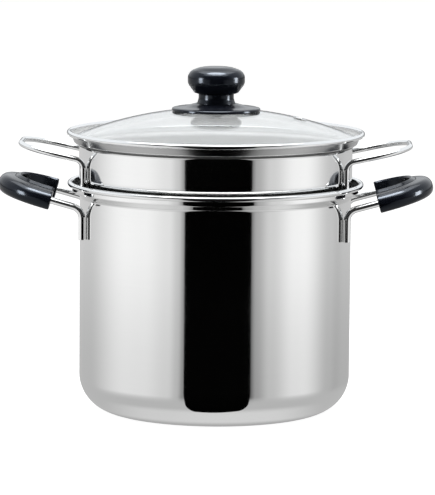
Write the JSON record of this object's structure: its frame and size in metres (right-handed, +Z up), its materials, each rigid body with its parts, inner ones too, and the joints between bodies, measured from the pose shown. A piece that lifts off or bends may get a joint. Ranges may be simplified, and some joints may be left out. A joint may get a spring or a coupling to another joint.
{
  "type": "pasta pot",
  "caption": "Deep stainless pasta pot with a lift-out strainer basket and a domed glass lid; black grips on the pot's side loops and bare wire loops on the basket.",
  "frame": {"origin": "centre of the overall box on the surface that the pot stands on, on the pot's axis", "axes": "+Z up along the pot's axis, +X through the handles towards the side of the lid's steam vent"},
  "size_m": [0.3542, 0.2428, 0.282],
  "materials": {
    "polished_steel": "mirror polished stainless steel",
    "black_phenolic": "glossy moulded black phenolic resin",
    "lid_glass": "clear tempered glass with a ground edge",
    "silicone": "translucent grey silicone",
    "insert_brass": "turned brass"
  },
  "bodies": {
    "pot": {"pot_body": "polished_steel", "pot_handle_rod_left": "polished_steel", "pot_handle_rod_right": "polished_steel", "pot_grip_left": "black_phenolic", "pot_grip_right": "black_phenolic"},
    "basket": {"basket_body": "polished_steel", "basket_handle_left": "polished_steel", "basket_handle_right": "polished_steel"},
    "lid": {"lid_glass": "lid_glass", "vent_eyelet": "polished_steel", "lid_knob": "black_phenolic", "knob_base": "black_phenolic", "knob_insert": "insert_brass", "knob_gasket_upper": "silicone", "knob_gasket_lower": "silicone", "knob_washer": "polished_steel", "knob_screw": "polished_steel"}
  },
  "joints": [
    {"name": "basket_lift", "type": "slide", "parent": "pot", "child": "basket", "axis": [0, 0, 1], "range_m": [0, 0.2]},
    {"name": "lid_lift", "type": "slide", "parent": "basket", "child": "lid", "axis": [0, 0, 1], "range_m": [0, 0.12]}
  ]
}
